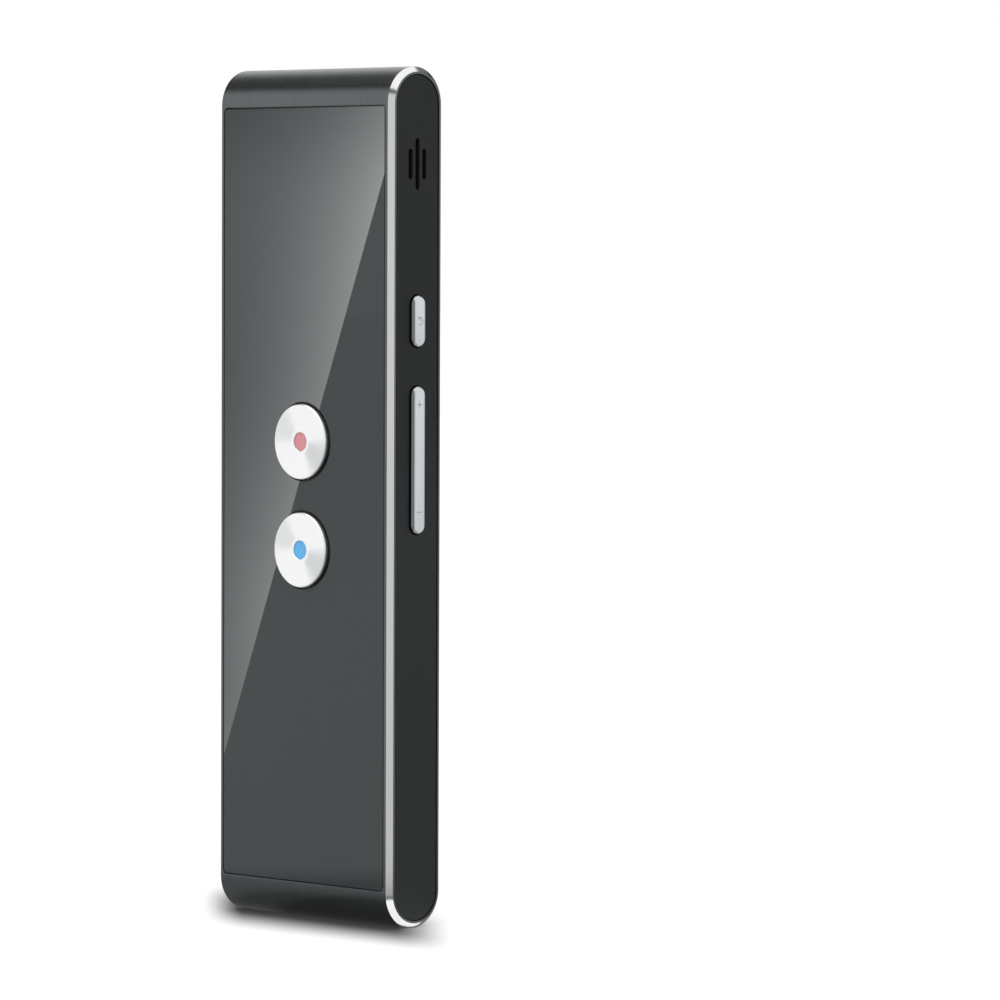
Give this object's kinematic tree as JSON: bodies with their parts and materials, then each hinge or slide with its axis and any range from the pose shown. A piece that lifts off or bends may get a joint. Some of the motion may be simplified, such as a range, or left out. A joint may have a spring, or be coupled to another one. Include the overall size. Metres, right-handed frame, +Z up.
{
  "type": "handheld voice translator",
  "caption": "Slim bar-shaped handheld voice translator with round talk keys, side volume and power keys, speaker grille and charging port.",
  "frame": {"origin": "centre of the footprint of the upright device, at the tip of its lower round end", "axes": "+Z up along the length, +Y out of the back with the speaker grille, -Y out of the front panel, +X out of the side with the power and volume keys"},
  "size_m": [0.0426, 0.0128, 0.141],
  "materials": {
    "anodised_sleeve": "dark grey anodise, brushed along the length, with bright cut edges",
    "front_panel": "clear acrylic with a dark grey print behind it, polished",
    "adhesive": "black double-sided tape",
    "side_plate": "charcoal, fine matt",
    "inner_plastic": "black moulded",
    "cloth_mesh": "fine black dust cloth",
    "soft_rubber": "soft black",
    "steel": "plain plated steel",
    "board": "green solder mask",
    "chip": "moulded package",
    "battery_wrap": "silver pouch",
    "nickel": "bare nickel strip",
    "foam": "open foam",
    "speaker_film": "pale formed film",
    "coil_wire": "enamelled copper",
    "flex": "amber flexible circuit",
    "front_key": "spun disc with a bright broken edge",
    "side_key": "satin silver",
    "red_dot": "muted red",
    "blue_dot": "sky blue"
  },
  "bodies": {
    "housing": {"housing_sleeve": "anodised_sleeve", "front_panel": "front_panel", "panel_adhesive": "adhesive", "side_plate_right": "side_plate", "side_plate_left": "side_plate", "inner_frame": "inner_plastic", "grille_mesh": "cloth_mesh", "microphone_meshes": "cloth_mesh", "microphone_boots": "soft_rubber", "microphone_capsules": "steel", "main_board": "board", "board_screws": "steel", "shield_can": "steel", "board_chips": "chip", "front_switches": "chip", "side_switches": "chip", "battery_cell": "battery_wrap", "battery_cap": "adhesive", "battery_tabs": "nickel", "battery_tape": "adhesive", "battery_pad": "foam", "speaker_basket": "steel", "speaker_magnet": "steel", "voice_coil": "coil_wire", "speaker_cone": "speaker_film", "speaker_gasket": "foam", "speaker_flex": "flex", "port_shell": "steel", "port_tongue": "inner_plastic", "rocker_pin": "steel"},
    "red_key": {"red_key_cap": "front_key", "red_key_dot": "red_dot", "red_key_base": "inner_plastic", "red_key_plunger": "inner_plastic"},
    "blue_key": {"blue_key_cap": "front_key", "blue_key_dot": "blue_dot", "blue_key_base": "inner_plastic", "blue_key_plunger": "inner_plastic"},
    "power_key": {"power_key_cap": "side_key", "power_key_plunger": "inner_plastic"},
    "volume_rocker": {"volume_rocker_bar": "side_key", "volume_plungers": "inner_plastic"}
  },
  "joints": [
    {"name": "red_key_press", "type": "slide", "parent": "housing", "child": "red_key", "axis": [0, 1, 0], "range_m": [0, 0.0003], "stiffness_N_per_m": 3000},
    {"name": "blue_key_press", "type": "slide", "parent": "housing", "child": "blue_key", "axis": [0, 1, 0], "range_m": [0, 0.0003], "stiffness_N_per_m": 3000},
    {"name": "power_key_press", "type": "slide", "parent": "housing", "child": "power_key", "axis": [-1, 0, 0], "range_m": [0, 0.0003], "stiffness_N_per_m": 3000},
    {"name": "volume_rock", "type": "hinge", "parent": "housing", "child": "volume_rocker", "pos_m": [0.018, 0, 0.0768], "axis": [0, 1, 0], "range_deg": [-1.5, 1.5], "stiffness_Nm_per_rad": 0.5}
  ]
}
